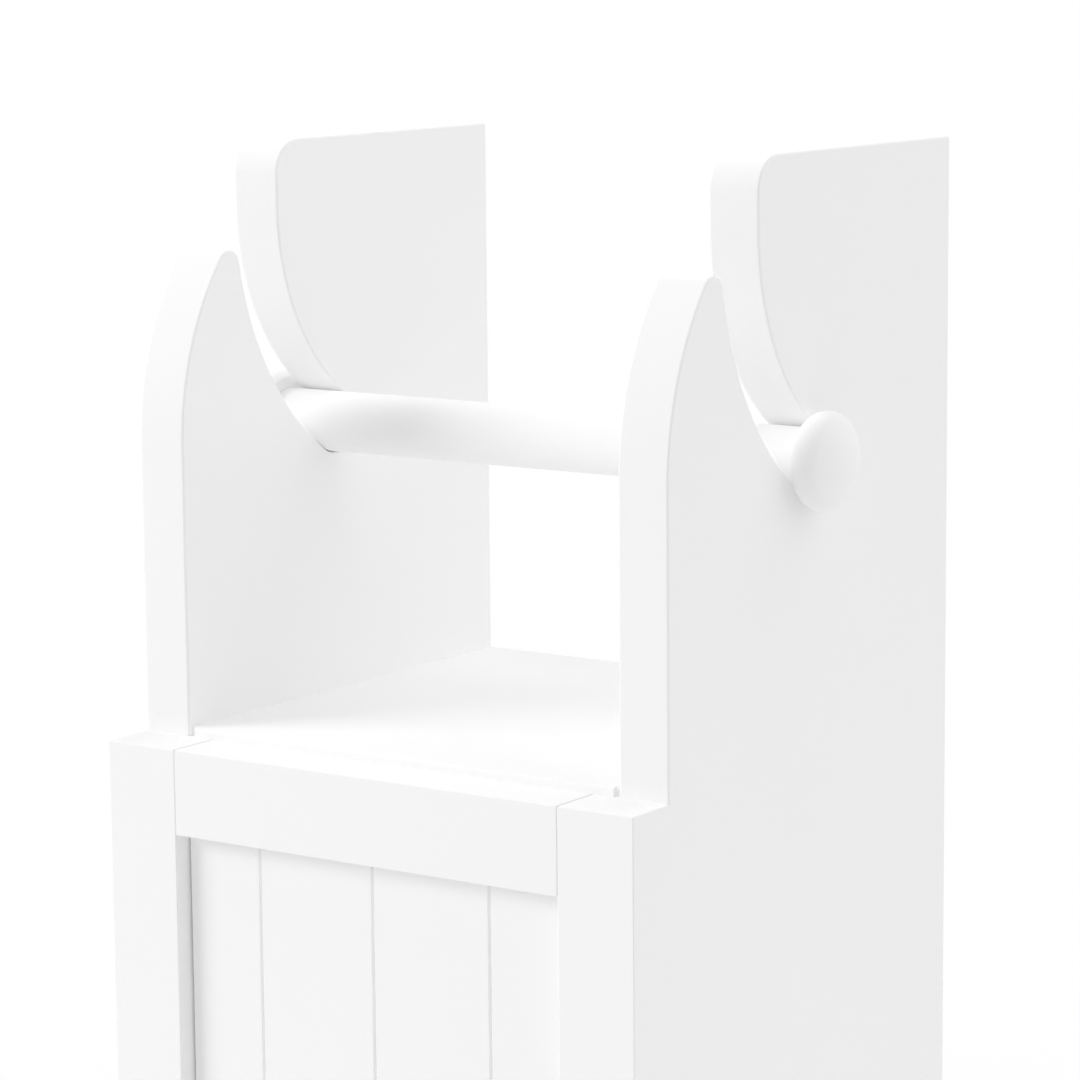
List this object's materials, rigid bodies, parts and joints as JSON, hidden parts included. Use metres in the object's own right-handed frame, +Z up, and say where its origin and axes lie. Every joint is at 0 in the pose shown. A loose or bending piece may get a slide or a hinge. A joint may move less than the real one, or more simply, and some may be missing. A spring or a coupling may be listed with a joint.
{
  "type": "toilet roll storage cabinet",
  "caption": "Tall narrow white cupboard with a grooved inset door and, above it, shaped side panels whose curved slots take a lift-out roller for a paper roll.",
  "frame": {"origin": "on the floor, in the middle of the whole cabinet's width and of its depth with the door knob", "axes": "+Z up, -Y out of the door, +X to the right seen from the front"},
  "size_m": [0.228, 0.203, 0.65],
  "materials": {
    "white_paint": "white satin paint on MDF and turned wood",
    "painted_hardboard": "white-faced hardboard",
    "beech": "plain beech dowel",
    "zinc_plate": "bright zinc plate",
    "nickel_plate": "satin nickel plate",
    "white_plastic": "moulded white plastic",
    "ferrite": "sintered ferrite magnet"
  },
  "bodies": {
    "carcass": {"left_side_panel": "white_paint", "right_side_panel": "white_paint", "left_stile": "white_paint", "right_stile": "white_paint", "top_rail": "white_paint", "bottom_rail": "white_paint", "shelf_board": "white_paint", "bottom_board": "white_paint", "back_panel": "painted_hardboard", "back_panel_screws": "zinc_plate", "board_dowels": "beech", "stile_dowels": "beech", "rail_dowels": "beech", "cam_bolts": "zinc_plate", "cam_nuts": "zinc_plate", "floor_glides": "white_plastic", "hinge_frame_leaves": "nickel_plate", "hinge_pins": "nickel_plate", "hinge_frame_screws": "nickel_plate", "catch_housing": "white_plastic", "catch_magnet": "ferrite", "catch_pole_plates": "zinc_plate", "catch_screws": "zinc_plate"},
    "door": {"door_panel": "white_paint", "hinge_door_leaves": "nickel_plate", "hinge_door_screws": "nickel_plate", "strike_plate": "zinc_plate", "strike_screw": "zinc_plate", "door_knob": "white_paint", "door_knob_screw": "zinc_plate"},
    "roller_carrier": {"roller_dowel_screws": "zinc_plate"},
    "roller": {"roller_bar": "white_paint", "roller_left_knob": "white_paint", "roller_right_knob": "white_paint"}
  },
  "joints": [
    {"name": "door_hinge", "type": "hinge", "parent": "carcass", "child": "door", "pos_m": [0.0705, -0.0801, 0.2364], "axis": [0, 0, 1], "range_deg": [0, 150]},
    {"name": "roller_lift", "type": "hinge", "parent": "carcass", "child": "roller_carrier", "pos_m": [0, 0.062, 0.6285], "axis": [-1, 0, 0], "range_deg": [0, 56.8]},
    {"name": "roller_spin", "type": "hinge", "parent": "roller_carrier", "child": "roller", "pos_m": [0, 0.01436, 0.5557], "axis": [1, 0, 0], "continuous": true}
  ]
}
